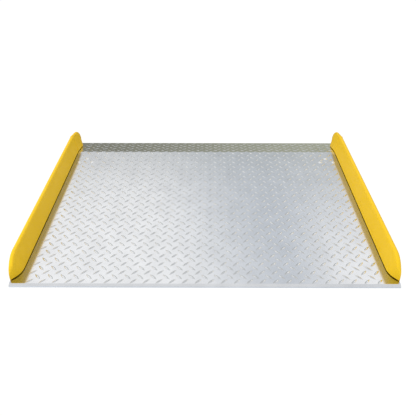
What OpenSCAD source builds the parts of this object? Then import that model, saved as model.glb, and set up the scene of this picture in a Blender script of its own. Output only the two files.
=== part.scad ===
// Portable dock board for pallet trucks: a tread-plate deck with a bent lip,
// a bolt-on steel curb along each side and two bolt-on locking legs below.
// Frame: X across the traffic, Y from the dock edge towards the lip, Z up.
// Origin: middle of the flat underside of the deck.

/* [Deck] */
// Width of the deck across the traffic
deck_w = 1219; // [900:1:1830]
// Length of the flat deck from its front edge to the bend
deck_l = 867; // [700:1:1500]
// Thickness of the tread plate
deck_t = 9.5; // [8:0.5:12.5]
// Run of the bevel along the front edge
bevel_run = 8.5; // [6:0.5:20]
// Height of the blunt nose left under the bevel
nose_h = 5.3; // [2:0.1:7]
// Inside radius of the bend
bend_r = 20; // [10:1:40]

/* [Lip] */
// Length of the lip from the bend to its far edge
lip_l = 154; // [140:1:300]
// Angle by which the lip drops
lip_angle = 11; // [8:0.5:20]
// Run of the bevel along the lip's far edge
lip_bevel_run = 14; // [6:0.5:20]

/* [Curbs] */
// Height of a curb above the deck
curb_h = 75; // [60:1:110]
// Width of a curb at its foot
curb_foot_w = 28; // [25:0.5:40]
// Radius of the rounded top edge
curb_top_r = 7.2; // [6:0.2:10]
// Thickness of the curb's steel sheet
curb_wall = 4.8; // [3:0.2:6]
// Distance from the deck's side edge to the curb's outer wall
curb_inset = 0; // [0:0.5:10]
// Gap between the deck and the lower edge of the inner face
curb_foot_gap = 3.5; // [1:0.5:5]
// Distance from the deck's front edge to the curb's tip
curb_setback = 21; // [12:1:60]
// Distance from the lip's far edge to the curb's tip
curb_lip_setback = 24; // [12:1:38]
// Corner radius of the near end, seen from the side
curb_near_r = 65.5; // [20:0.5:75]
// Corner radius of the far end, seen from the side
curb_far_r = 75; // [20:0.5:75]
// Radius at which the inner face sweeps outward to the near tip
near_flare_r = 69; // [45:1:140]
// Radius at which the inner face sweeps outward to the far tip
far_flare_r = 56; // [45:1:80]

/* [Mounting bars and screws] */
// Height of the tapped bar inside a curb
bar_h = 10; // [8:1:14]
// Clearance between the bar and the curb's leaning inner face
bar_clearance = 0.4; // [0.2:0.1:2]
// Clearance between the bar's end and the curb's swept end
bar_end_clearance = 4; // [2:1:16]
// Radius of the countersunk screw's shank
screw_r = 4; // [3:0.5:5]
// Radius of the countersunk screw's head
screw_head_r = 7.6; // [6:0.2:9]
// Depth of the countersunk screw's head
screw_head_h = 4.2; // [3:0.2:5]
// Screws along the deck, each side
deck_screw_count = 6; // [3:1:10]
// Screws along the lip, each side
lip_screw_count = 2; // [2:1:3]
// Distance from a bar's end to its nearest screw
screw_end_distance = 20; // [15:1:26]

/* [Locking legs] */
// Distance from the deck's side edge to the middle of a leg
leg_inset = 81; // [70:1:300]
// Drop of a leg below the deck
leg_drop = 102; // [75:1:200]
// Width of a leg across the traffic
leg_w = 92; // [76:1:110]
// Thickness of the leg's blade
blade_t = 9.5; // [6:0.5:12]
// Thickness of the leg's pad
pad_t = 8; // [6:0.5:10]
// Corner radius of the blade's foot
blade_corner_r = 14; // [5:1:30]
// Thickness of a gusset
gusset_t = 6; // [5:0.5:10]
// Height of a gusset
gusset_h = 48; // [30:1:60]
// Distance between the two outer bolts
bolt_pair_spacing = 58; // [50:1:60]
// Distance from the bend to the rear bolt
rear_bolt_back = 64; // [58:1:70]
// Distance along the deck from the rear bolt to the outer pair
bolt_row_spacing = 31.5; // [30:0.5:45]
// Radius of the leg bolt's shank
bolt_r = 4.75; // [3:0.25:5]
// Clearance between a fastener and its hole, on the radius
hole_clearance = 0.4; // [0.2:0.1:1]
// Radius of the domed bolt head
bolt_head_r = 8.2; // [7:0.2:10]
// Height of the domed bolt head
bolt_head_h = 3.4; // [2:0.2:5]
// Size of the nut across its flats
nut_flats = 14.3; // [13:0.1:17]
// Height of the nut
nut_h = 8.3; // [6:0.1:10]
// Radius of the flat washer
washer_r = 10; // [9:0.2:12]
// Thickness of the flat washer
washer_t = 1.8; // [1:0.1:3]
// Thickness of the split lock washer
lock_t = 2.4; // [1.5:0.1:3]
// Length of thread past the nut
thread_past_nut = 4; // [1:0.5:10]

/* [Hidden] */

$fn = 64;
left = -1;
right = 1;
slack = 1;                                  // overshoot of a cutting shape
bend_steps = 8;                             // flats along the bend of the plate
top_steps = 12;                             // flats over the curb's rounded top
flare_steps = 12;                           // flats along the curb's swept end
corner_steps = 16;                          // flats round the curb's end corner
reach = 3 * (deck_w + deck_l + lip_l);      // larger than the whole board

// Main stations along Y
y_front = -deck_l / 2;
y_bend = deck_l / 2;

// Curb: its straight runs, measured from the bend to each tip
outer_x = deck_w / 2 - curb_inset;
deck_run = deck_l - curb_setback;
lip_run = lip_l - curb_lip_setback;
tip_blunt = 1.2;                            // length ground off the swept tip
crossing = 0.3;                             // lets rounded cuts cross the section instead of grazing it
mitre_over = curb_h;                        // length past the bend before the mitre is cut

// Lean of the curb's inner face, from its foot to the tangent of the round top
top_dx = curb_foot_w - curb_top_r;
top_dz = curb_h - curb_top_r;
face_lean = atan2(top_dx, top_dz) - asin(curb_top_r / norm([top_dx, top_dz]));
face_normal = [cos(face_lean), sin(face_lean)];

// Mounting bar inside the curb
bar_w = curb_foot_w - curb_wall - (curb_wall + bar_clearance) / cos(face_lean)
    - bar_h * tan(face_lean);
bar_mid = curb_wall + bar_w / 2;
bar_mitre_clearance = 3;
screw_tip_clearance = 1;                    // bar left above a screw's tip
socket_r = screw_r * 0.6;
socket_h = screw_head_h * 0.6;

// Locking leg: the blade stands between the rear bolt and the bend
leg_x = deck_w / 2 - leg_inset;
pad_rear = 6;                               // pad's rear edge, in front of the bend
pad_margin = 24;                            // pad in front of the outer pair of bolts
blade_gap = 6;                              // between the rear bolt's washer and the blade
blade_y = y_bend - rear_bolt_back + washer_r + blade_gap;
pad_front = y_bend - rear_bolt_back - bolt_row_spacing - pad_margin;
gusset_offset = leg_w / 2 - 1.5 * gusset_t;
stack_bottom = -pad_t - washer_t - lock_t - nut_h;
nut_chamfer = 0.6;

// Finishes
plate_metal = [0.80, 0.82, 0.85];
curb_yellow = [0.92, 0.74, 0.22];
bare_steel = [0.45, 0.46, 0.48];
zinc = [0.74, 0.76, 0.78];
leg_paint = [0.24, 0.25, 0.27];

// Points along an arc, both ends included
function arc(centre, r, from, to, steps) =
    [for (i = [0 : steps]) let (a = from + (to - from) * i / steps) centre + r * [cos(a), sin(a)]];

// ---- Placing ----

// Puts a shape drawn for the right side on the given side
module on_side(side) {
    if (side == left) mirror([1, 0, 0]) children();
    else children();
}

// Deck curb frame: origin where the outer wall meets the deck at the bend, run along -Y
module at_deck_curb() {
    translate([outer_x, y_bend, deck_t]) children();
}

// Lip curb frame: the same frame turned over the bend, run along the lip
module at_lip_curb() {
    at_deck_curb() rotate([-lip_angle, 0, 0]) mirror([0, 1, 0]) children();
}

// Length of the swept end of a curb, from where the inner face leaves its straight line
function flare_l(flare_r) = sqrt(2 * flare_r * curb_foot_w - pow(curb_foot_w, 2));

// Distance from the bend to the far end of the bar in a run
function bar_end(run, flare_r) = run - flare_l(flare_r) - bar_end_clearance;

// Repeats a shape along a run of screws, on the bar's middle line
module along_screws(run, flare_r, count) {
    first = -bar_end(run, flare_r) + screw_end_distance;
    last = -bar_mitre_clearance - screw_end_distance - bend_r * tan(lip_angle / 2);
    for (i = [0 : count - 1])
        translate([-bar_mid, first + i * (last - first) / (count - 1), 0]) children();
}

// Repeats a shape at the three bolts of the right-hand leg
module at_leg_bolts() {
    pair_y = y_bend - rear_bolt_back - bolt_row_spacing;
    translate([leg_x, y_bend - rear_bolt_back, 0]) children();
    for (dx = [-1, 1])
        translate([leg_x + dx * bolt_pair_spacing / 2, pair_y, 0]) children();
}

// ---- Deck ----

// Point of the lip: distance from the bend along its top face, and height over that face
function lip_point(along, up) = [y_bend, deck_t]
    + along * [cos(lip_angle), -sin(lip_angle)] + up * [sin(lip_angle), cos(lip_angle)];

// Side outline of the plate: bevelled nose, flat deck, rounded bend and bevelled lip
module deck_outline() {
    bend_centre = [y_bend - (bend_r + deck_t) * tan(lip_angle / 2), -bend_r];
    polygon(concat(
        [[y_front, 0], [y_front, nose_h], [y_front + bevel_run, deck_t]],
        arc(bend_centre, bend_r + deck_t, 90, 90 - lip_angle, bend_steps),
        [lip_point(lip_l - lip_bevel_run, 0), lip_point(lip_l, nose_h - deck_t), lip_point(lip_l, -deck_t)],
        arc(bend_centre, bend_r, 90 - lip_angle, 90, bend_steps)
    ));
}

// Countersunk hole through the plate, mouth downwards, top of the plate at z = 0
module countersunk_hole() {
    translate([0, 0, -deck_t - slack]) cylinder(r = screw_r + hole_clearance, h = deck_t + 2 * slack);
    translate([0, 0, -deck_t])
        cylinder(r1 = screw_head_r + hole_clearance, r2 = screw_r + hole_clearance, h = screw_head_h);
    translate([0, 0, -deck_t - slack])
        cylinder(r = screw_head_r + hole_clearance, h = slack);
}

module deck_plate() {
    color(plate_metal) difference() {
        translate([-deck_w / 2, 0, 0]) rotate([90, 0, 90]) linear_extrude(deck_w) deck_outline();
        for (side = [left, right]) on_side(side) {
            at_deck_curb() along_screws(deck_run, near_flare_r, deck_screw_count) countersunk_hole();
            at_lip_curb() along_screws(lip_run, far_flare_r, lip_screw_count) countersunk_hole();
            at_leg_bolts() translate([0, 0, -slack])
                cylinder(r = bolt_r + hole_clearance, h = deck_t + 2 * slack);
        }
    }
}

// ---- Curbs ----

// Cross-section of a curb, drawn from its outer wall inward and shrunk by depth
module curb_section(depth) {
    centre = [curb_top_r, curb_h - curb_top_r];
    over = depth > 0 ? slack : 0;
    foot_down = depth > 0 ? (over - depth * sin(face_lean)) / cos(face_lean) : 0;
    foot = [curb_foot_w, 0] - depth * face_normal + foot_down * [sin(face_lean), -cos(face_lean)];
    polygon(concat(
        [[depth, -over], foot],
        arc(centre, curb_top_r - depth, face_lean, 180, top_steps)
    ));
}

// Plan of a curb run from past the bend to its tip, where the inner face sweeps outward
module curb_plan(run, flare_r, depth) {
    sweep_r = flare_r - depth;
    centre = [flare_r - curb_foot_w - crossing, flare_l(flare_r) - run - tip_blunt];
    polygon(concat(
        [[slack, mitre_over], [-curb_foot_w - slack, mitre_over], [-curb_foot_w - slack, centre[1]]],
        arc(centre, sweep_r, 180, 360 - acos((slack - centre[0]) / sweep_r), flare_steps)
    ));
}

// Side view of a curb run: full height with a rounded corner at the tip
module curb_profile(run, corner_r, depth) {
    r = min(corner_r, curb_h);
    centre = [r - run, curb_h + crossing - r];
    polygon(concat(
        [[mitre_over, -slack], [mitre_over, curb_h + 2 * slack], [centre[0], curb_h + 2 * slack]],
        arc(centre, r - depth, 90, 180, corner_steps),
        [[depth - run, -slack]]
    ));
}

// Closed form of a curb run, shrunk by depth on every covered side
module curb_form(run, corner_r, flare_r, depth) {
    intersection() {
        translate([0, mitre_over, 0]) rotate([90, 0, 0])
            linear_extrude(run + mitre_over) mirror([1, 0]) curb_section(depth);
        translate([0, 0, -slack]) linear_extrude(curb_h + 2 * slack) curb_plan(run, flare_r, depth);
        translate([-curb_foot_w - slack, 0, 0]) rotate([90, 0, 90])
            linear_extrude(curb_foot_w + 2 * slack) curb_profile(run, corner_r, depth);
    }
}

// One curb run: a folded channel open below, mitred at the bend
module curb_run(run, corner_r, flare_r) {
    difference() {
        curb_form(run, corner_r, flare_r, 0);
        curb_form(run, corner_r, flare_r, curb_wall);
        translate([-curb_foot_w - slack, -run - slack, -slack])
            cube([curb_foot_w + slack - curb_wall, run + mitre_over + 2 * slack, curb_foot_gap + slack]);
        rotate([-lip_angle / 2, 0, 0])
            translate([-reach / 2, 0, -reach / 2]) cube([reach, reach, reach]);
    }
}

module deck_curb(side) {
    color(curb_yellow) on_side(side) at_deck_curb() curb_run(deck_run, curb_near_r, near_flare_r);
}

module lip_curb(side) {
    color(curb_yellow) on_side(side) at_lip_curb() curb_run(lip_run, curb_far_r, far_flare_r);
}

// ---- Mounting bars and their screws ----

// Flat bar welded inside the curb, tapped from below
module mounting_bar(run, flare_r, count) {
    difference() {
        translate([-curb_wall - bar_w, -bar_end(run, flare_r), 0])
            cube([bar_w, bar_end(run, flare_r) - bar_mitre_clearance, bar_h]);
        along_screws(run, flare_r, count) translate([0, 0, -slack])
            cylinder(r = screw_r, h = bar_h + slack - screw_tip_clearance);
    }
}

module deck_bar(side) {
    color(bare_steel) on_side(side) at_deck_curb() mounting_bar(deck_run, near_flare_r, deck_screw_count);
}

module lip_bar(side) {
    color(bare_steel) on_side(side) at_lip_curb() mounting_bar(lip_run, far_flare_r, lip_screw_count);
}

// Countersunk socket screw, driven upwards through the plate into the bar
module flat_screw() {
    difference() {
        translate([0, 0, -deck_t]) union() {
            cylinder(r1 = screw_head_r, r2 = screw_r, h = screw_head_h);
            cylinder(r = screw_r, h = deck_t + bar_h - screw_tip_clearance);
        }
        translate([0, 0, -deck_t - slack]) cylinder(r = socket_r, h = socket_h + slack, $fn = 6);
    }
}

module curb_screws(side) {
    color(zinc) on_side(side) at_deck_curb()
        along_screws(deck_run, near_flare_r, deck_screw_count) flat_screw();
}

module lip_screws(side) {
    color(zinc) on_side(side) at_lip_curb()
        along_screws(lip_run, far_flare_r, lip_screw_count) flat_screw();
}

// ---- Locking legs ----

// Pad bolted flat against the underside of the deck
module leg_pad(side) {
    color(leg_paint) on_side(side) difference() {
        translate([leg_x - leg_w / 2, pad_front, -pad_t])
            cube([leg_w, y_bend - pad_rear - bend_r * tan(lip_angle / 2) - pad_front, pad_t]);
        at_leg_bolts() translate([0, 0, -pad_t - slack])
            cylinder(r = bolt_r + hole_clearance, h = pad_t + 2 * slack);
    }
}

// Blade that drops into the gap between the dock and the vehicle
module leg_blade(side) {
    blade_h = leg_drop - pad_t;
    color(leg_paint) on_side(side)
        translate([leg_x, blade_y + blade_t, -pad_t]) rotate([90, 0, 0]) linear_extrude(blade_t) {
            translate([-leg_w / 2, blade_corner_r - blade_h]) square([leg_w, blade_h - blade_corner_r]);
            translate([blade_corner_r - leg_w / 2, -blade_h])
                square([leg_w - 2 * blade_corner_r, blade_corner_r]);
            for (dx = [-1, 1])
                translate([dx * (leg_w / 2 - blade_corner_r), blade_corner_r - blade_h])
                    circle(r = blade_corner_r);
        }
}

// Pair of triangular gussets behind the blade
module leg_gussets(side) {
    gusset_l = y_bend - pad_rear - bend_r * tan(lip_angle / 2) - blade_y - blade_t;
    tip = 6;
    color(leg_paint) on_side(side) for (dx = [-1, 1])
        translate([leg_x + dx * gusset_offset - gusset_t / 2, blade_y + blade_t, -pad_t])
            rotate([90, 0, 90]) linear_extrude(gusset_t)
                polygon([[0, 0], [gusset_l, 0], [gusset_l, -tip], [tip, -gusset_h], [0, -gusset_h]]);
}

// Domed bolt with its head on the deck
module leg_bolt() {
    dome_r = (pow(bolt_head_r, 2) + pow(bolt_head_h, 2)) / (2 * bolt_head_h);
    translate([0, 0, stack_bottom - thread_past_nut])
        cylinder(r = bolt_r, h = deck_t - stack_bottom + thread_past_nut);
    translate([0, 0, deck_t]) intersection() {
        translate([0, 0, bolt_head_h - dome_r]) sphere(r = dome_r);
        cylinder(r = bolt_head_r, h = bolt_head_h);
    }
}

module leg_bolts(side) {
    color(zinc) on_side(side) at_leg_bolts() leg_bolt();
}

// Ring with a bore that clears the bolt, standing on z = 0
module ring(outer_r, thickness) {
    difference() {
        cylinder(r = outer_r, h = thickness);
        translate([0, 0, -slack]) cylinder(r = bolt_r + hole_clearance, h = thickness + 2 * slack);
    }
}

module leg_washers(side) {
    color(zinc) on_side(side) at_leg_bolts() translate([0, 0, -pad_t - washer_t])
        ring(washer_r, washer_t);
}

// Split lock washers, each with a cut through its ring
module leg_lock_washers(side) {
    split_w = 1.2;
    lock_r = nut_flats / 2 + 0.3;
    color(bare_steel) on_side(side) at_leg_bolts() translate([0, 0, -pad_t - washer_t - lock_t])
        difference() {
            ring(lock_r, lock_t);
            translate([0, -split_w / 2, -slack]) cube([lock_r + slack, split_w, lock_t + 2 * slack]);
        }
}

// Hexagon nuts with chamfered corners, threaded on the bolts
module leg_nuts(side) {
    corner_r = nut_flats / 2 / cos(30);
    color(zinc) on_side(side) at_leg_bolts() translate([0, 0, stack_bottom]) difference() {
        intersection() {
            cylinder(r = corner_r, h = nut_h, $fn = 6);
            union() {
                cylinder(r1 = corner_r - nut_chamfer, r2 = corner_r, h = nut_chamfer);
                translate([0, 0, nut_chamfer]) cylinder(r = corner_r, h = nut_h - 2 * nut_chamfer);
                translate([0, 0, nut_h - nut_chamfer])
                    cylinder(r1 = corner_r, r2 = corner_r - nut_chamfer, h = nut_chamfer);
            }
        }
        translate([0, 0, -slack]) cylinder(r = bolt_r, h = nut_h + 2 * slack);
    }
}

// ---- Drawing ----

deck_plate();
deck_curb(left);  // curb_left
deck_curb(right);  // curb_right
lip_curb(left);  // lip_curb_left
lip_curb(right);  // lip_curb_right
deck_bar(left);  // deck_bar_left
deck_bar(right);  // deck_bar_right
lip_bar(left);  // lip_bar_left
lip_bar(right);  // lip_bar_right
curb_screws(left);  // curb_screws_left
curb_screws(right);  // curb_screws_right
lip_screws(left);  // lip_screws_left
lip_screws(right);  // lip_screws_right
leg_pad(left);  // leg_pad_left
leg_pad(right);  // leg_pad_right
leg_blade(left);  // leg_blade_left
leg_blade(right);  // leg_blade_right
leg_gussets(left);  // leg_gussets_left
leg_gussets(right);  // leg_gussets_right
leg_bolts(left);  // leg_bolts_left
leg_bolts(right);  // leg_bolts_right
leg_washers(left);  // leg_washers_left
leg_washers(right);  // leg_washers_right
leg_lock_washers(left);  // leg_lock_washers_left
leg_lock_washers(right);  // leg_lock_washers_right
leg_nuts(left);  // leg_nuts_left
leg_nuts(right);  // leg_nuts_right
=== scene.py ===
import math

import bpy
import numpy as np
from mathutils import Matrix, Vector


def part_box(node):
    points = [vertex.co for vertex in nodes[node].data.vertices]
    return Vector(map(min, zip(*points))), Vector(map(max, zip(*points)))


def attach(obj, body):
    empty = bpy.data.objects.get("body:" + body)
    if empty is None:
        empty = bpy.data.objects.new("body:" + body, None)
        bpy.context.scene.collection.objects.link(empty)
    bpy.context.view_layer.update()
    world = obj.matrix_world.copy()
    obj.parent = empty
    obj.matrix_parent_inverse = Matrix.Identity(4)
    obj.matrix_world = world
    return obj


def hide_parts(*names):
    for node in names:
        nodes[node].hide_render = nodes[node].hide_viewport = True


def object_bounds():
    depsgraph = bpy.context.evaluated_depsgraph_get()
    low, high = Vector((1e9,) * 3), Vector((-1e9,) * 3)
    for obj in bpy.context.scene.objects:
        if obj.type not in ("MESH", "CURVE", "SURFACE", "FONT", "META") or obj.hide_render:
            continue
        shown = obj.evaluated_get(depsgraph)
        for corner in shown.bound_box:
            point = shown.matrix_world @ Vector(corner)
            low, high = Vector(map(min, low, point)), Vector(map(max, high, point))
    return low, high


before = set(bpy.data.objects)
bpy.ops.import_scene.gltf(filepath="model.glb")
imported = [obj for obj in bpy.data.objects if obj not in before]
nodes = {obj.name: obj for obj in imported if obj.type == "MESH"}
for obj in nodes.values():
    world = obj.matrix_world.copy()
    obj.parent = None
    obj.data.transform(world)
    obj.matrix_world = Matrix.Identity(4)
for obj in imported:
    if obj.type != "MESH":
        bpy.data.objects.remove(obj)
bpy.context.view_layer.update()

# Portable dock board: tread-plate deck with a bent lip, yellow steel curbs, bolted locking legs.
# Metres throughout, X across the traffic, Y from the dock towards the lip, Z up.

plateLow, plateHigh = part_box("deck_plate")
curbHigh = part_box("curb_right")[1]
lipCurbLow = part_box("lip_curb_right")[0]

board = {
    "halfWidth": plateHigh.x,
    "front": plateLow.y,
    "bend": lipCurbLow.y,          # the lip's curb starts on the bend line
    "top": plateHigh.z,
    "lipLength": 0.154,
    "lipAngle": math.radians(11.0),
    "bendRadius": 0.020,           # inside radius of the bent plate
    "bevelRun": 0.0085,
    "lipBevelRun": 0.014,
}
print("frame read: half width", round(board["halfWidth"], 4), "bend at", round(board["bend"], 4))


def signedVolume(verts, faces):
    # a sixth of the sum of a . (b x c) over the fan triangles of every face
    total = 0.0
    for k in range(1, faces.shape[1] - 1):
        a, b, c = verts[faces[:, 0]], verts[faces[:, k]], verts[faces[:, k + 1]]
        total += np.einsum("ij,ij->i", a, np.cross(b, c)).sum()
    return total / 6.0


def gridFaces(rows, columns, closeColumns=False):
    # quads between neighbours of a rows x columns array of points, row by row
    r = np.arange(rows - 1)[:, None]
    c = np.arange(columns if closeColumns else columns - 1)[None, :]
    nextC = (c + 1) % columns
    quads = np.stack([r * columns + c, r * columns + nextC,
                      (r + 1) * columns + nextC, (r + 1) * columns + c], axis=-1)
    return quads.reshape(-1, 4)


softAngle = 60.0                   # degrees: lugs and beads look smooth up to this crease
curbAngle = 40.0                   # and the folded curbs up to this one


def makePiece(name, verts, faces, material, smoothAngle):
    # faces is an array of quads, or a list of arrays with one face size each
    groups = faces if isinstance(faces, list) else [faces]
    verts = np.asarray(verts, float).reshape(-1, 3)
    if sum(signedVolume(verts, g) for g in groups) < 0:
        groups = [g[:, ::-1] for g in groups]
    mesh = bpy.data.meshes.new(name)
    mesh.from_pydata(verts.tolist(), [], [f for g in groups for f in g.tolist()])
    mesh.validate()
    mesh.shade_smooth()
    mesh.set_sharp_from_angle(angle=math.radians(smoothAngle))
    mesh.materials.append(material)
    piece = bpy.data.objects.new(name, mesh)
    bpy.context.scene.collection.objects.link(piece)
    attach(piece, "root")
    return piece


def newMaterial(name):
    # an empty material with one Principled shader
    material = bpy.data.materials.new(name)
    material.use_nodes = True
    tree = material.node_tree
    tree.nodes.clear()
    output = tree.nodes.new("ShaderNodeOutputMaterial")
    shader = tree.nodes.new("ShaderNodeBsdfPrincipled")
    tree.links.new(shader.outputs["BSDF"], output.inputs["Surface"])
    return material, tree, shader


def addNode(tree, kind, values=None, **settings):
    # values are for its sockets, settings for the node itself
    node = tree.nodes.new(kind)
    for key, value in settings.items():
        setattr(node, key, value)
    for key, value in (values or {}).items():
        node.inputs[key].default_value = value
    return node


def newGroup(name, inputs, outputs):
    # an empty shader node group with number sockets
    group = bpy.data.node_groups.new(name, "ShaderNodeTree")
    for direction, socketNames in (("INPUT", inputs), ("OUTPUT", outputs)):
        for socketName in socketNames:
            group.interface.new_socket(socketName, in_out=direction, socket_type="NodeSocketFloat")
    return group, group.nodes.new("NodeGroupInput"), group.nodes.new("NodeGroupOutput")


noiseLooks = {
    "streak": {"Scale": 1.0, "Detail": 3.0, "Roughness": 0.6},
    "cloud": {"Detail": 4.0, "Roughness": 0.55},
    "broad": {"Detail": 5.0, "Roughness": 0.6},
    "fine": {"Detail": 2.0, "Roughness": 0.5},
}


def makeStreakGroup():
    # fine lines along Y and soft clouds: noise on stretched object coordinates
    group, source, sink = newGroup("rolledStreaks", ("Across", "Along", "Cloud"), ("Streak", "Clouds"))
    link = group.links.new
    coord = addNode(group, "ShaderNodeTexCoord")
    scale = addNode(group, "ShaderNodeCombineXYZ")
    link(source.outputs["Across"], scale.inputs["X"])
    link(source.outputs["Along"], scale.inputs["Y"])
    link(source.outputs["Across"], scale.inputs["Z"])
    stretch = addNode(group, "ShaderNodeVectorMath", operation="MULTIPLY")
    link(coord.outputs["Object"], stretch.inputs[0])
    link(scale.outputs["Vector"], stretch.inputs[1])
    streak = addNode(group, "ShaderNodeTexNoise", noiseLooks["streak"])
    link(stretch.outputs["Vector"], streak.inputs["Vector"])
    cloud = addNode(group, "ShaderNodeTexNoise", noiseLooks["cloud"])
    link(coord.outputs["Object"], cloud.inputs["Vector"])
    link(source.outputs["Cloud"], cloud.inputs["Scale"])
    link(streak.outputs["Fac"], sink.inputs["Streak"])
    link(cloud.outputs["Fac"], sink.inputs["Clouds"])
    return group


def makeMottleGroup():
    # two sizes of noise for paint and plating: a broad shade and a fine orange peel
    group, source, sink = newGroup("coatMottle", ("Broad", "Fine"), ("Shade", "Peel"))
    link = group.links.new
    coord = addNode(group, "ShaderNodeTexCoord")
    broad = addNode(group, "ShaderNodeTexNoise", noiseLooks["broad"])
    fine = addNode(group, "ShaderNodeTexNoise", noiseLooks["fine"])
    for noise, socket in ((broad, "Broad"), (fine, "Fine")):
        link(coord.outputs["Object"], noise.inputs["Vector"])
        link(source.outputs[socket], noise.inputs["Scale"])
    link(broad.outputs["Fac"], sink.inputs["Shade"])
    link(fine.outputs["Fac"], sink.inputs["Peel"])
    return group


streakGroup = makeStreakGroup()
mottleGroup = makeMottleGroup()


def useGroup(tree, group, values):
    # one use of a node group in a material, with its own socket values
    node = addNode(tree, "ShaderNodeGroup", node_tree=group)
    for key, value in values.items():
        node.inputs[key].default_value = value
    return node


noiseSpan = (0.3, 0.7)             # most of a noise's values lie between these


def spreadNoise(tree, source, low, high):
    # a noise stretched straight from noiseSpan to low..high
    node = addNode(tree, "ShaderNodeMapRange", {"From Min": noiseSpan[0], "From Max": noiseSpan[1],
                                                "To Min": low, "To Max": high})
    tree.links.new(source, node.inputs["Value"])
    return node.outputs["Result"]


def smoothStep(tree, source, span, low, high):
    # low up to the first end of the span, high from its second end, 3 t^2 - 2 t^3 between them
    node = addNode(tree, "ShaderNodeMapRange", {"From Min": span[0], "From Max": span[1],
                                                "To Min": low, "To Max": high},
                   interpolation_type="SMOOTHSTEP")
    tree.links.new(source, node.inputs["Value"])
    return node.outputs["Result"]


def combine(tree, operation, first, second):
    # one step of arithmetic, each value a number or another node's output
    node = addNode(tree, "ShaderNodeMath", operation=operation)
    for socket, value in ((0, first), (1, second)):
        if isinstance(value, (int, float)):
            node.inputs[socket].default_value = value
        else:
            tree.links.new(value, node.inputs[socket])
    return node.outputs[0]


def mixColour(tree, factor, first, second):
    # first where the factor is 0, second where it is 1, each a colour or another node's output
    node = addNode(tree, "ShaderNodeMix", data_type="RGBA")
    for socket, colour in (("A", first), ("B", second)):
        if isinstance(colour, tuple):
            node.inputs[socket].default_value = (*colour, 1.0)
        else:
            tree.links.new(colour, node.inputs[socket])
    tree.links.new(factor, node.inputs["Factor"])
    return node.outputs["Result"]


def mixByRay(tree, rayKind, others, these):
    # these for rays of the named kind, others for all the rest
    path = addNode(tree, "ShaderNodeLightPath")
    node = addNode(tree, "ShaderNodeMixShader")
    tree.links.new(path.outputs[rayKind], node.inputs["Fac"])
    tree.links.new(others, node.inputs[1])
    tree.links.new(these, node.inputs[2])
    return node.outputs["Shader"]


def addBump(tree, height, strength, distance, below=None):
    # raises the surface by the height, on top of the bump given as below
    node = addNode(tree, "ShaderNodeBump", {"Strength": strength, "Distance": distance})
    tree.links.new(height, node.inputs["Height"])
    if below is not None:
        tree.links.new(below, node.inputs["Normal"])
    return node.outputs["Normal"]


def splitAxes(tree, output):
    # the X, Y and Z of one of the Texture Coordinate node's outputs
    coord = addNode(tree, "ShaderNodeTexCoord")
    split = addNode(tree, "ShaderNodeSeparateXYZ")
    tree.links.new(coord.outputs[output], split.inputs["Vector"])
    return [split.outputs[axis] for axis in ("X", "Y", "Z")]


plateLook = {
    "light": (0.87, 0.88, 0.89),
    "dark": (0.79, 0.80, 0.81),
    "streaks": {"Across": 420.0, "Along": 5.0, "Cloud": 14.0},
    "rough": (0.10, 0.20),
    "waves": 0.08,
    "waveDepth": 0.002,
    "lines": 0.05,
    "lineDepth": 0.0002,
    "paintedCurbShade": (0.52, 0.54, 0.60),   # painted shade: a darker, slightly blue tint on the metal beside the curbs, dimming their mirrored image
    "curbShadeFromSide": (0.0535, 0.0435),     # the painted shade begins between these distances from the side
    "curbShadeFromBevel": (-0.001, 0.003),     # from the front bevel's top edge
    "curbShadeFromBend": (-0.0335, -0.0035),   # from the bend
    "curbShadeFromTop": (-0.0055, -0.0015),    # and from the top face
}


def makeCurbShadeMask(tree):
    # where the painted shade goes: 1 on the flat deck's top face beside each curb, 0 elsewhere, the product
    # of smooth steps in |x|, at both ends in y, and in z
    x, y, z = splitAxes(tree, "Object")
    side = [board["halfWidth"] - inset for inset in plateLook["curbShadeFromSide"]]
    bevel = [board["front"] + board["bevelRun"] + step for step in plateLook["curbShadeFromBevel"]]
    bend = [board["bend"] + step for step in plateLook["curbShadeFromBend"]]
    top = [board["top"] + step for step in plateLook["curbShadeFromTop"]]
    onDeck = combine(tree, "MULTIPLY", smoothStep(tree, y, bend, 1.0, 0.0),
                     smoothStep(tree, y, bevel, 0.0, 1.0))
    onDeck = combine(tree, "MULTIPLY", onDeck, smoothStep(tree, z, top, 0.0, 1.0))
    aside = combine(tree, "ABSOLUTE", x, 0.0)
    return combine(tree, "MULTIPLY", onDeck, smoothStep(tree, aside, side, 0.0, 1.0))


def makePlateMetal():
    # bright rolled aluminium: faint lines along the plate and soft waves in its shine, with painted shade, a
    # darker, slightly blue tint that dims the curb's mirrored image, beside each curb
    material, tree, shader = newMaterial("plateMetal")
    streaks = useGroup(tree, streakGroup, plateLook["streaks"])
    clouds, lines = streaks.outputs["Clouds"], streaks.outputs["Streak"]
    unshadedMetal = mixColour(tree, spreadNoise(tree, clouds, 0.0, 1.0), plateLook["light"], plateLook["dark"])
    # painted shade: the plate beside each curb takes the darker, bluer tint
    colour = mixColour(tree, makeCurbShadeMask(tree), unshadedMetal, plateLook["paintedCurbShade"])
    tree.links.new(colour, shader.inputs["Base Color"])
    tree.links.new(spreadNoise(tree, lines, *plateLook["rough"]), shader.inputs["Roughness"])
    shader.inputs["Metallic"].default_value = 1.0
    waves = addBump(tree, clouds, plateLook["waves"], plateLook["waveDepth"])
    fine = addBump(tree, lines, plateLook["lines"], plateLook["lineDepth"], waves)
    tree.links.new(fine, shader.inputs["Normal"])
    return material


enamel = {"mottle": {"Broad": 7.0, "Fine": 260.0}, "roughSpread": 0.1, "peelDepth": 0.0004}
steelSkin = {"mottle": {"Broad": 60.0, "Fine": 900.0}, "roughSpread": 0.15,
             "grain": 0.1, "grainDepth": 0.0002}


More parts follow.
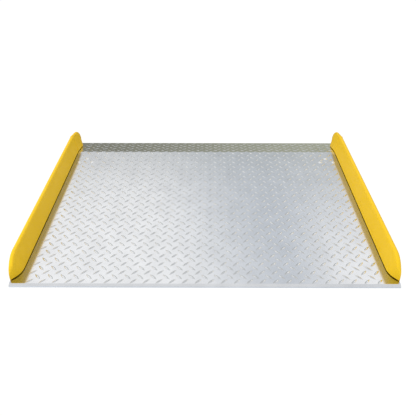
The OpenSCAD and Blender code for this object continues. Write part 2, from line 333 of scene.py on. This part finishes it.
def makePaint(name, light, dark, rough, peel, shine):
    # sprayed enamel with a broad change of shade and orange peel
    material, tree, shader = newMaterial(name)
    mottle = useGroup(tree, mottleGroup, enamel["mottle"])
    shade = mottle.outputs["Shade"]
    colour = mixColour(tree, spreadNoise(tree, shade, 0.0, 1.0), light, dark)
    tree.links.new(colour, shader.inputs["Base Color"])
    roughest = rough + enamel["roughSpread"]
    tree.links.new(spreadNoise(tree, shade, rough, roughest), shader.inputs["Roughness"])
    skin = addBump(tree, mottle.outputs["Peel"], peel, enamel["peelDepth"])
    tree.links.new(skin, shader.inputs["Normal"])
    shader.inputs["Specular IOR Level"].default_value = shine
    return material


def makeSteel(name, light, dark, rough, metal):
    # plated or bare steel with a fine grain
    material, tree, shader = newMaterial(name)
    mottle = useGroup(tree, mottleGroup, steelSkin["mottle"])
    shade, grain = mottle.outputs["Shade"], mottle.outputs["Peel"]
    colour = mixColour(tree, spreadNoise(tree, shade, 0.0, 1.0), light, dark)
    tree.links.new(colour, shader.inputs["Base Color"])
    roughest = rough + steelSkin["roughSpread"]
    tree.links.new(spreadNoise(tree, grain, rough, roughest), shader.inputs["Roughness"])
    skin = addBump(tree, grain, steelSkin["grain"], steelSkin["grainDepth"])
    tree.links.new(skin, shader.inputs["Normal"])
    shader.inputs["Metallic"].default_value = metal
    return material


plateMetal = makePlateMetal()
curbPaint = makePaint("curbPaint", light=(1.0, 0.640, 0.018), dark=(0.97, 0.61, 0.014),
                      rough=0.38, peel=0.12, shine=0.22)
legPaint = makePaint("legPaint", light=(0.060, 0.064, 0.070), dark=(0.045, 0.048, 0.053),
                     rough=0.42, peel=0.25, shine=0.5)
barSteel = makeSteel("barSteel", light=(0.34, 0.34, 0.35), dark=(0.24, 0.24, 0.26),
                     rough=0.45, metal=1.0)
# zinc is only partly metallic here, so that the small bolt heads stay pale
zincPlate = makeSteel("zincPlate", light=(0.93, 0.94, 0.95), dark=(0.84, 0.86, 0.88),
                      rough=0.14, metal=0.55)
springSteel = makeSteel("springSteel", light=(0.30, 0.29, 0.29), dark=(0.20, 0.20, 0.21),
                        rough=0.38, metal=1.0)
print("materials made")


tread = {
    "pitch": 0.04064,              # square lattice of each lug direction
    "length": 0.0300,
    "width": 0.0074,
    "height": 0.0015,
    "lipHeightShare": 0.6,         # lugs on the lip are this part as high
    "sink": 0.0004,                # how far a lug's foot goes into the plate
    "shift": 0.485,                # lattice lines across the deck, in pitches from the middle
    "bendRow": 64.88,              # row number of the bend line
    "firstRow": 42,
    "lastRow": 70,
    "columnsOut": 17,              # columns on each side of the middle one
    "sideClear": 0.060,            # no lug's middle this close to the side edge of the flat deck
    "lipSideClear": 0.0325,        # to that of the lip
    "boltClear": 0.0190,           # or to a bolt
    "washerRadius": 0.0100,
    "segments": 12,
    "ringShares": (0.5, 0.85, 1.0, 1.0),   # rings from the top out to the foot, in parts of the lug
    "ringRaised": (1, 1, 1, 0),    # the last ring is the sunk foot
    "domePower": 0.6,
}


def lugForm(size):
    # a lens in plan: x = rho cos(a) L/2, y = rho sin(a)|sin(a)| W/2, height H (1 - rho^2)^power
    rho = np.array(size["ringShares"])[:, None]
    raised = np.array(size["ringRaised"])[:, None]
    n = size["segments"]
    a = np.linspace(0, 2 * np.pi, n, endpoint=False)[None, :]
    x = rho * np.cos(a) * size["length"] / 2
    y = rho * np.sin(a) * np.abs(np.sin(a)) * size["width"] / 2
    dome = size["height"] * (1 - rho ** 2) ** size["domePower"]
    z = dome * raised - size["sink"] * (1 - raised) + 0 * a
    rings = np.stack([x, y, z], axis=-1).reshape(-1, 3)
    poles = np.array([[0, 0, size["height"]], [0, 0, -size["sink"]]])
    verts = np.vstack([rings, poles])
    count = len(rho)
    quads = gridFaces(count, n, closeColumns=True)
    i = np.arange(n)
    top = np.stack([(i + 1) % n, i, np.full(n, count * n)], axis=-1)
    outer = (count - 1) * n
    foot = np.stack([outer + i, outer + (i + 1) % n, np.full(n, count * n + 1)], axis=-1)
    return verts, quads, np.vstack([top, foot])


def overBend(across, along, lift):
    # distance along the top face, 0 where the bend starts: flat, then an arc, then the sloping lip
    radius = board["bendRadius"] + board["top"]
    start = board["bend"] - radius * math.tan(board["lipAngle"] / 2)
    angle = np.clip(along / radius, 0.0, board["lipAngle"])
    rest = np.where(along > 0, along - angle * radius, along)
    y = start + (radius + lift) * np.sin(angle) + rest * np.cos(angle)
    z = board["top"] - radius + (radius + lift) * np.cos(angle) - rest * np.sin(angle)
    return np.stack([across, y, z], axis=-1)


def boltSpots(word):
    # the three bolts of a leg, one washer radius in from the corners and the edge of their box
    low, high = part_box("leg_washers_" + word)
    ring = tread["washerRadius"]
    rear = ((low.x + high.x) / 2, high.y - ring)
    return [rear, (low.x + ring, low.y + ring), (high.x - ring, low.y + ring)]


def treadCentres(tangent, firstAlong, lastAlong):
    # two square lattices, half a pitch apart, whose lugs lean opposite ways: x, distance past the
    # bend's start and lean of each lug that lies clear of the plate's edges and the bolts
    columns = np.arange(-tread["columnsOut"], tread["columnsOut"] + 1)
    rows = np.arange(tread["firstRow"], tread["lastRow"] + 1)
    grids = []
    for lean, offset in ((1, 0.0), (-1, 0.5)):
        gx, gy = np.meshgrid(columns + offset + tread["shift"], rows + offset - tread["bendRow"])
        grids.append(np.stack([gx.ravel() * tread["pitch"], gy.ravel() * tread["pitch"] + tangent,
                               np.full(gx.size, lean)], axis=-1))
    centres = np.vstack(grids)
    clear = np.where(centres[:, 1] > tangent, tread["lipSideClear"], tread["sideClear"])
    keep = np.abs(centres[:, 0]) < board["halfWidth"] - clear
    keep &= (centres[:, 1] > firstAlong) & (centres[:, 1] < lastAlong)
    start = board["bend"] - tangent
    for x, y in boltSpots("left") + boltSpots("right"):
        keep &= np.hypot(centres[:, 0] - x, centres[:, 1] + start - y) > tread["boltClear"]
    return centres[keep]


def makeTread():
    # every lug is the same form turned 45 degrees to one side and laid on the plate's top face
    radius = board["bendRadius"] + board["top"]
    tangent = radius * math.tan(board["lipAngle"] / 2)
    firstAlong = board["front"] + board["bevelRun"] - (board["bend"] - tangent)
    lastAlong = radius * board["lipAngle"] + board["lipLength"] - board["lipBevelRun"] - tangent
    centres = treadCentres(tangent, firstAlong, lastAlong)
    form, quads, triangles = lugForm(tread)
    turn = math.sqrt(0.5)
    lean = centres[:, 2, None]
    across = centres[:, 0, None] + (form[None, :, 0] - lean * form[None, :, 1]) * turn
    along = centres[:, 1, None] + (lean * form[None, :, 0] + form[None, :, 1]) * turn
    along = np.clip(along, firstAlong, lastAlong)
    share = np.where(centres[:, 1, None] > tangent, tread["lipHeightShare"], 1.0)
    verts = overBend(across, along, share * form[None, :, 2])
    base = (np.arange(len(centres)) * len(form))[:, None, None]
    lugQuads = (quads[None] + base).reshape(-1, 4)
    lugTriangles = (triangles[None] + base).reshape(-1, 3)
    makePiece("treadLugs", verts, [lugQuads, lugTriangles], plateMetal, softAngle)
    print("tread lugs:", len(centres))


makeTread()


curb = {
    "height": 0.075,
    "footWidth": 0.028,
    "topRadius": 0.0072,
    "wall": 0.0048,
    "footGap": 0.0035,
    "toe": 0.0007,                 # slight roll of the inner face's lower edge
    "toeReach": 0.0022,
    "tipWidth": 0.0016,
    "tipHeight": 0.0035,
    "widthShare": 0.49,            # the rounded top's radius is at most this part of the width
    "heightShare": 0.45,           # and at most this part of the height
    "gapShare": 0.3,               # the foot gap is at most this part of the inner face's height
    "toeShare": 0.1,               # the toe, of the width
    "wallShare": 0.8,              # and the sheet, of the top radius
    "pastEnd": 0.004,              # the close stations go this far past the shaped end
    "endStations": 40,
    "straightStations": 15,
    "wallPoints": 5,
    "topPoints": 15,
    "facePoints": 13,
    "faceCrowding": 0.6,           # under 1 spaces the face's points wider at its top
    "nearEnd": {"setback": 0.021, "corner": 0.0655, "sweep": 0.069},
    "farEnd": {"setback": 0.024, "corner": 0.075, "sweep": 0.056},
    "outer": curbHigh.x,
}


def curbStations(run, end):
    # width and height of the section by distance d from the tip: the width follows an arc of
    # radius sweep, w = foot - sweep + sqrt(sweep^2 - back^2), the height one of radius corner
    foot, sweep, corner = curb["footWidth"], end["sweep"], end["corner"]
    sweepLength = math.sqrt(2 * sweep * foot - foot ** 2)
    endLength = max(sweepLength, corner) + curb["pastEnd"]
    curved = endLength * (1 - np.cos(np.linspace(0, np.pi / 2, curb["endStations"])))
    straight = np.linspace(endLength, run, curb["straightStations"] + 1)[1:]
    d = np.concatenate([curved, straight])
    back = np.clip(sweepLength - d, 0, None)
    width = foot - (sweep - np.sqrt(sweep ** 2 - back ** 2))
    width = np.maximum(width, curb["tipWidth"])
    fall = np.clip(corner - d, 0, None)
    height = curb["height"] - corner + np.sqrt(np.maximum(corner ** 2 - fall ** 2, 0))
    height = np.maximum(height, curb["tipHeight"])
    return d, width, height


def curbSection(width, height):
    # outer wall, round top and leaning inner face for every station, then the same points moved
    # inwards along their normals by the sheet's thickness
    w, h = width[:, None], height[:, None]
    r = np.minimum(curb["topRadius"], curb["widthShare"] * w)
    r = np.minimum(r, curb["heightShare"] * h)
    lean = np.arctan2(w - r, h - r) - np.arcsin(r / np.hypot(w - r, h - r))
    gap = np.minimum(curb["footGap"], curb["gapShare"] * (h - r))
    wallStep = np.linspace(0, 1, curb["wallPoints"] + 1)[None, :-1]
    arcStep = np.linspace(0, 1, curb["topPoints"])[None, :]
    faceStep = np.linspace(0, 1, curb["facePoints"] + 1)[None, 1:] ** curb["faceCrowding"]
    wallU, wallV = 0 * w * wallStep, wallStep * (h - r)
    phi = np.pi + (lean - np.pi) * arcStep
    arcU, arcV = r + r * np.cos(phi), h - r + r * np.sin(phi)
    footU, footV = w - gap * np.tan(lean), gap
    faceU = arcU[:, -1:] + (footU - arcU[:, -1:]) * faceStep
    faceV = arcV[:, -1:] + (footV - arcV[:, -1:]) * faceStep
    toe = np.minimum(curb["toe"], curb["toeShare"] * w) * np.exp(-(faceV - footV) / curb["toeReach"])
    u = np.concatenate([wallU, arcU, faceU + toe], axis=1)
    v = np.concatenate([wallV, arcV, faceV], axis=1)
    alongWall, alongFace = np.ones_like(wallU), np.ones_like(faceU)
    nu = np.concatenate([-alongWall, np.cos(phi), np.cos(lean) * alongFace], axis=1)
    nv = np.concatenate([0 * alongWall, np.sin(phi), np.sin(lean) * alongFace], axis=1)
    thick = np.minimum(curb["wall"], curb["wallShare"] * r)
    return u, v, u - thick * nu, np.maximum(v - thick * nv, 0.0)


def placeOnDeck(side, u, d, v):
    # u inwards from the outer wall, d back from the bend line, v above the deck
    return np.stack([side * (curb["outer"] - u), board["bend"] - d, board["top"] + v], axis=-1)


def placeOnLip(side, u, d, v):
    # the same frame turned over the bend: d runs down the lip
    c, s = math.cos(board["lipAngle"]), math.sin(board["lipAngle"])
    return np.stack([side * (curb["outer"] - u), board["bend"] + d * c + v * s,
                     board["top"] - d * s + v * c], axis=-1)


def makeCurbRun(name, replaced, side, run, end, place):
    # the outer and inner skins as one closed ring per station, with a cap at the tip and the mitre
    d, width, height = curbStations(run, end)
    u, v, innerU, innerV = curbSection(width, height)
    ringU = np.concatenate([u, innerU[:, ::-1]], axis=1)
    ringV = np.concatenate([v, innerV[:, ::-1]], axis=1)
    fromBend = (run - d)[:, None] + 0 * ringU
    fromBend[-1] = -ringV[-1] * math.tan(board["lipAngle"] / 2)   # the mitre leans with half the bend
    verts = place(side, ringU, fromBend, ringV)
    rows, columns = ringU.shape
    i = np.arange(columns // 2 - 1)
    capRing = np.stack([i, i + 1, columns - 2 - i, columns - 1 - i], axis=-1)
    tipCap = capRing[:, ::-1]
    mitreCap = capRing + (rows - 1) * columns
    faces = np.vstack([gridFaces(rows, columns, closeColumns=True), tipCap, mitreCap])
    piece = makePiece(name, verts, faces, curbPaint, curbAngle)
    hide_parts(replaced)


deckRun = board["bend"] - board["front"] - curb["nearEnd"]["setback"]
lipRun = board["lipLength"] - curb["farEnd"]["setback"]
for side, word, label in ((-1, "left", "Left"), (1, "right", "Right")):
    makeCurbRun("curb" + label, "curb_" + word, side, deckRun, curb["nearEnd"], placeOnDeck)
    makeCurbRun("lipCurb" + label, "lip_curb_" + word, side, lipRun, curb["farEnd"], placeOnLip)
print("curbs made")


weld = {
    "curbRadius": 0.0011,
    "legRadius": 0.0026,
    "curbSpacing": 0.0006,         # distance between points along a bead
    "legSpacing": 0.0008,
    "legInset": 0.004,             # a bead stops this far from a plate's edge
    "gussetPlate": 0.006,
    "ripple": 0.16,
    "ripplePitch": 0.0024,
    "endSize": 0.35,               # a bead's end shrinks to this part of its radius
    "sides": 10,
    "steep": 0.9,                  # a path this close to the X direction is framed from Y
}


def beadTube(path, radius):
    # a tube round a path, its radius rippled by a sine of the distance along the path
    path = np.asarray(path, float)
    step = np.gradient(path, axis=0)
    step /= np.linalg.norm(step, axis=1, keepdims=True)
    helper = np.where(np.abs(step[:, :1]) < weld["steep"], [[1.0, 0.0, 0.0]], [[0.0, 1.0, 0.0]])
    first = np.cross(step, helper)
    first /= np.linalg.norm(first, axis=1, keepdims=True)
    second = np.cross(step, first)
    reach = np.concatenate([[0], np.cumsum(np.linalg.norm(np.diff(path, axis=0), axis=1))])
    size = radius * (1 + weld["ripple"] * np.sin(2 * np.pi * reach / weld["ripplePitch"]))
    size[[0, -1]] *= weld["endSize"]
    a = np.linspace(0, 2 * np.pi, weld["sides"], endpoint=False)[None, :, None]
    ring = np.cos(a) * first[:, None] + np.sin(a) * second[:, None]
    verts = path[:, None] + size[:, None, None] * ring
    n, m = len(path), weld["sides"]
    verts = np.vstack([verts.reshape(-1, 3), path[:1], path[-1:]])
    i = np.arange(m)
    start = np.stack([(i + 1) % m, i, np.full(m, n * m)], axis=-1)
    end = np.stack([(n - 1) * m + i, (n - 1) * m + (i + 1) % m, np.full(m, n * m + 1)], axis=-1)
    return verts, gridFaces(n, m, closeColumns=True), np.vstack([start, end])


def alongPath(points, spacing):
    # evenly spaced points on a polyline
    points = np.asarray(points, float)
    reach = np.concatenate([[0], np.cumsum(np.linalg.norm(np.diff(points, axis=0), axis=1))])
    wanted = np.linspace(0, reach[-1], max(3, int(reach[-1] / spacing)))
    return np.stack([np.interp(wanted, reach, points[:, k]) for k in range(3)], axis=-1)


def makeBeads(name, paths, radius, material):
    # one piece of a tube along each path
    verts, quads, triangles, count = [], [], [], 0
    for path in paths:
        tubeVerts, tubeQuads, tubeTriangles = beadTube(path, radius)
        verts.append(tubeVerts)
        quads.append(tubeQuads + count)
        triangles.append(tubeTriangles + count)
        count += len(tubeVerts)
    faces = [np.vstack(quads), np.vstack(triangles)]
    makePiece(name, np.vstack(verts), faces, material, softAngle)


def mitrePath(side):
    # the outer skin's outline on the mitre plane
    u, v = curbSection(np.array([curb["footWidth"]]), np.array([curb["height"]]))[:2]
    return placeOnDeck(side, u[0], -v[0] * math.tan(board["lipAngle"] / 2), v[0])


def legWeldPaths(word):
    # where the blade and the gussets meet the pad, and the gussets meet the blade
    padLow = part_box("leg_pad_" + word)[0]
    bladeLow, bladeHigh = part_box("leg_blade_" + word)
    gussetLow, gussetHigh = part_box("leg_gussets_" + word)
    under, inset, plate = padLow.z, weld["legInset"], weld["gussetPlate"]
    paths = [[(bladeLow.x + inset, bladeLow.y, under), (bladeHigh.x - inset, bladeLow.y, under)],
             [(gussetLow.x + 2 * plate, bladeHigh.y, under), (gussetHigh.x - 2 * plate, bladeHigh.y, under)]]
    for x in (gussetLow.x, gussetLow.x + plate, gussetHigh.x - plate, gussetHigh.x):
        paths.append([(x, bladeHigh.y + inset, under), (x, gussetHigh.y - inset, under)])
        paths.append([(x, bladeHigh.y, under - inset), (x, bladeHigh.y, gussetLow.z + inset)])
    return [alongPath(path, weld["legSpacing"]) for path in paths]


for side, word, label in ((-1, "left", "Left"), (1, "right", "Right")):
    curbPath = alongPath(mitrePath(side), weld["curbSpacing"])
    makeBeads("curbWeld" + label, [curbPath], weld["curbRadius"], curbPaint)
    makeBeads("legWelds" + label, legWeldPaths(word), weld["legRadius"], legPaint)
print("weld beads made")


finishes = {
    "deck_plate": plateMetal,
    "deck_bar": barSteel, "lip_bar": barSteel,
    "curb_screws": zincPlate, "lip_screws": zincPlate,
    "leg_bolts": zincPlate, "leg_washers": zincPlate, "leg_nuts": zincPlate,
    "leg_lock_washers": springSteel,
    "leg_pad": legPaint, "leg_blade": legPaint, "leg_gussets": legPaint,
    "curb": curbPaint, "lip_curb": curbPaint,
}
for nodeName, node in nodes.items():
    kind = nodeName.removesuffix("_left").removesuffix("_right")
    node.data.materials.clear()
    node.data.materials.append(finishes[kind])
print("finishes set on", len(nodes), "nodes")


studio = {
    "floorSize": 12.0,
    "floorDrop": 0.0005,
    "floorRough": 0.9,
    "shown": (1.05, 1.05, 1.05),           # floor and sky as the viewer sees them
    "floorFront": (0.70, 0.74, 0.80),      # the floor as the metal mirrors it, in front
    "floorBehind": (0.22, 0.22, 0.18),     # and behind the board's middle
    "floorTurn": (0.0, 0.5),               # it goes from one to the other between these Y
    "ambient": (0.85, 0.85, 0.85),         # even light for the matt surfaces
}
ceiling = {
    "panel": (0.985, 0.985, 0.995),
    "gap": (0.58, 0.62, 0.68),             # between the panels
    "dim": (0.44, 0.455, 0.485),           # the part overhead
    "leftEdge": (0.10, 0.60),              # the left panel ends between these places across
    "leftSlant": 0.25,
    "leftFar": (1.45, 2.10),               # and fades between these places ahead
    "leftFarShare": 0.35,
    "rightEdge": (0.23, 0.42),
    "rightFar": (1.05, 1.75),
    "rightFarShare": 0.1,
    "gapMiddle": 0.20,
    "dimEdge": (0.55, 1.0),                # the dim part ends between these places ahead
    "dimSpread": 0.8,                      # nearer by this for each step aside of gapMiddle
    "nearPatch": (0.0, 0.25),              # further back than these places it is lit again
    "nearPatchShare": 0.65,
    "lowestRise": 0.02,
}
horizon = {
    "left": (0.24, 0.24, 0.195),
    "right": (0.42, 0.43, 0.34),
    "turn": (-0.25, 0.25),                 # it goes from left to right between these X
    "top": (0.28, 0.56),                   # and gives way to the ceiling between these Z
    "rearTurn": (-0.20, 0.20),
    "rearShare": 0.45,                     # the ceiling's part in it towards -Y
}


def makeFloor():
    # plain white to the viewer, otherwise pale in front and dark behind, by a smooth step in y
    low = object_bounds()[0]
    half = studio["floorSize"] / 2
    z = low[2] - studio["floorDrop"]
    mesh = bpy.data.meshes.new("floor")
    corners = [(-half, -half, z), (half, -half, z), (half, half, z), (-half, half, z)]
    mesh.from_pydata(corners, [], [(0, 1, 2, 3)])
    material, tree, shader = newMaterial("floorWhite")
    behind = smoothStep(tree, splitAxes(tree, "Object")[1], studio["floorTurn"], 0.0, 1.0)
    mirrored = mixColour(tree, behind, studio["floorFront"], studio["floorBehind"])
    tree.links.new(mirrored, shader.inputs["Base Color"])
    shader.inputs["Roughness"].default_value = studio["floorRough"]
    shader.inputs["Specular IOR Level"].default_value = 0.0
    shown = addNode(tree, "ShaderNodeEmission", {"Color": (*studio["shown"], 1.0)})
    output = next(n for n in tree.nodes if n.bl_idname == "ShaderNodeOutputMaterial")
    blend = mixByRay(tree, "Is Camera Ray", shader.outputs["BSDF"], shown.outputs["Emission"])
    tree.links.new(blend, output.inputs["Surface"])
    mesh.materials.append(material)
    floor = bpy.data.objects.new("floor", mesh)
    bpy.context.scene.collection.objects.link(floor)


def ceilingColour(tree, x, y, z):
    # p = x / z and q = y / z of a ray are its place across and ahead on a flat ceiling, so every
    # edge is a smooth step in p or q: two soft panels, the gap between them, and a dim part overhead
    rise = combine(tree, "MAXIMUM", z, ceiling["lowestRise"])
    p = combine(tree, "DIVIDE", x, rise)
    q = combine(tree, "DIVIDE", y, rise)
    slanted = combine(tree, "ADD", p, combine(tree, "MULTIPLY", q, ceiling["leftSlant"]))
    left = combine(tree, "MULTIPLY", smoothStep(tree, slanted, ceiling["leftEdge"], 1.0, 0.0),
                   smoothStep(tree, q, ceiling["leftFar"], 1.0, ceiling["leftFarShare"]))
    right = combine(tree, "MULTIPLY", smoothStep(tree, p, ceiling["rightEdge"], 0.0, 1.0),
                    smoothStep(tree, q, ceiling["rightFar"], 1.0, ceiling["rightFarShare"]))
    aside = combine(tree, "ABSOLUTE", combine(tree, "SUBTRACT", p, ceiling["gapMiddle"]), 0.0)
    ahead = combine(tree, "ADD", q, combine(tree, "MULTIPLY", aside, ceiling["dimSpread"]))
    lit = combine(tree, "MAXIMUM", smoothStep(tree, ahead, ceiling["dimEdge"], 0.0, 1.0),
                  smoothStep(tree, q, ceiling["nearPatch"], ceiling["nearPatchShare"], 0.0))
    panels = mixColour(tree, combine(tree, "MAXIMUM", left, right), ceiling["gap"], ceiling["panel"])
    return mixColour(tree, lit, ceiling["dim"], panels)


def skyColour(tree):
    # the horizon, left to right by a step in x, under the ceiling by a step in z, with a part of
    # the ceiling let into it towards -Y by a step in y
    x, y, z = splitAxes(tree, "Generated")
    low = mixColour(tree, smoothStep(tree, x, horizon["turn"], 0.0, 1.0), horizon["left"], horizon["right"])
    high = combine(tree, "MAXIMUM", smoothStep(tree, z, horizon["top"], 0.0, 1.0),
                   smoothStep(tree, y, horizon["rearTurn"], horizon["rearShare"], 0.0))
    return mixColour(tree, high, low, ceilingColour(tree, x, y, z))


def makeSky():
    # plain white to the viewer, even grey to matt surfaces, and the ceiling and horizon to shiny ones
    world = bpy.data.worlds.new("studioSky")
    bpy.context.scene.world = world
    world.use_nodes = True
    tree = world.node_tree
    tree.nodes.clear()
    output = addNode(tree, "ShaderNodeOutputWorld")
    mirrored = addNode(tree, "ShaderNodeBackground")
    tree.links.new(skyColour(tree), mirrored.inputs["Color"])
    even = addNode(tree, "ShaderNodeBackground", {"Color": (*studio["ambient"], 1.0)})
    shown = addNode(tree, "ShaderNodeBackground", {"Color": (*studio["shown"], 1.0)})
    unseen = mixByRay(tree, "Is Diffuse Ray", mirrored.outputs["Background"], even.outputs["Background"])
    blend = mixByRay(tree, "Is Camera Ray", unseen, shown.outputs["Background"])
    tree.links.new(blend, output.inputs["Surface"])


key = {
    "place": (-2.2, -0.8, 2.4),
    "target": (0.3, 0.1, 0.0),
    "size": (2.0, 2.0),
    "power": 38.0,
    "tint": (1.0, 0.99, 0.97),
}


def makeKeyLight():
    # a square lamp on the left, pointed at its target, that metal doesn't mirror
    light = bpy.data.lights.new("keyLeft", "AREA")
    light.shape = "RECTANGLE"
    light.size, light.size_y = key["size"]
    light.energy = key["power"]
    light.color = key["tint"]
    lamp = bpy.data.objects.new("keyLeft", light)
    bpy.context.scene.collection.objects.link(lamp)
    lamp.location = key["place"]
    aim = Vector(key["target"]) - Vector(key["place"])
    lamp.rotation_euler = aim.to_track_quat("-Z", "Y").to_euler()
    lamp.visible_glossy = False


view = {
    "lens": 42.36,
    "sensor": 36.0,
    "pitch": 34.89,                # degrees below the horizon
    "turn": 0.192,                 # degrees towards -X
    "place": (0.0141, -1.5395, 1.0737),
}


def makeCamera():
    # level across, turned about Z and tipped down by the pitch
    camera = bpy.data.cameras.new("viewer")
    camera.lens = view["lens"]
    camera.sensor_width = view["sensor"]
    eye = bpy.data.objects.new("viewer", camera)
    bpy.context.scene.collection.objects.link(eye)
    eye.location = view["place"]
    eye.rotation_euler = (math.radians(90 - view["pitch"]), 0.0, math.radians(view["turn"]))
    bpy.context.scene.camera = eye


makeFloor()
makeSky()
makeKeyLight()
makeCamera()
bpy.context.scene.view_settings.view_transform = "Standard"
print("floor, light and camera set")
